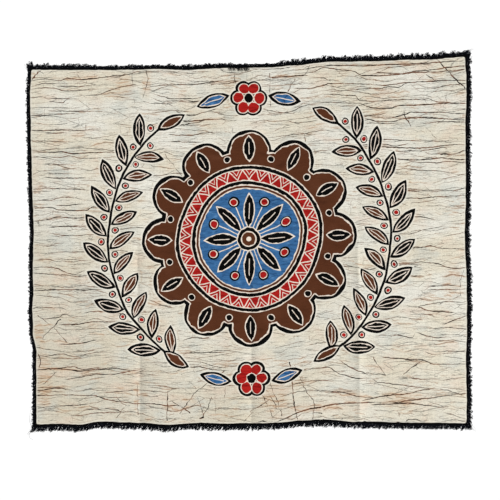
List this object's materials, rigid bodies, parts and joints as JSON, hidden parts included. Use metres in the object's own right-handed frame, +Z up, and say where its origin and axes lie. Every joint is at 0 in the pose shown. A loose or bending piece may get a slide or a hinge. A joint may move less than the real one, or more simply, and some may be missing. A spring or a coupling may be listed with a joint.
{
  "type": "batik wall hanging",
  "caption": "Wide rectangular cotton batik cloth with a raw black-dyed edge and a short black yarn fringe on all four sides, hanging by its top edge.",
  "frame": {"origin": "middle of the cloth's top edge, in the middle of its thickness", "axes": "+X along the width, to the right as seen from the front; +Y out of the back; +Z up, out of the top edge that holds the hanging; the dyed face looks towards -Y"},
  "size_m": [1.1097, 0.017, 0.9461],
  "materials": {
    "batik_cotton": "matt plain-woven cotton, wax-resist dyed",
    "black_yarn": "matt black yarn"
  },
  "bodies": {
    "root": {"cloth": "batik_cotton", "fringe_top": "black_yarn", "fringe_right": "black_yarn", "fringe_bottom": "black_yarn", "fringe_left": "black_yarn"}
  },
  "joints": []
}
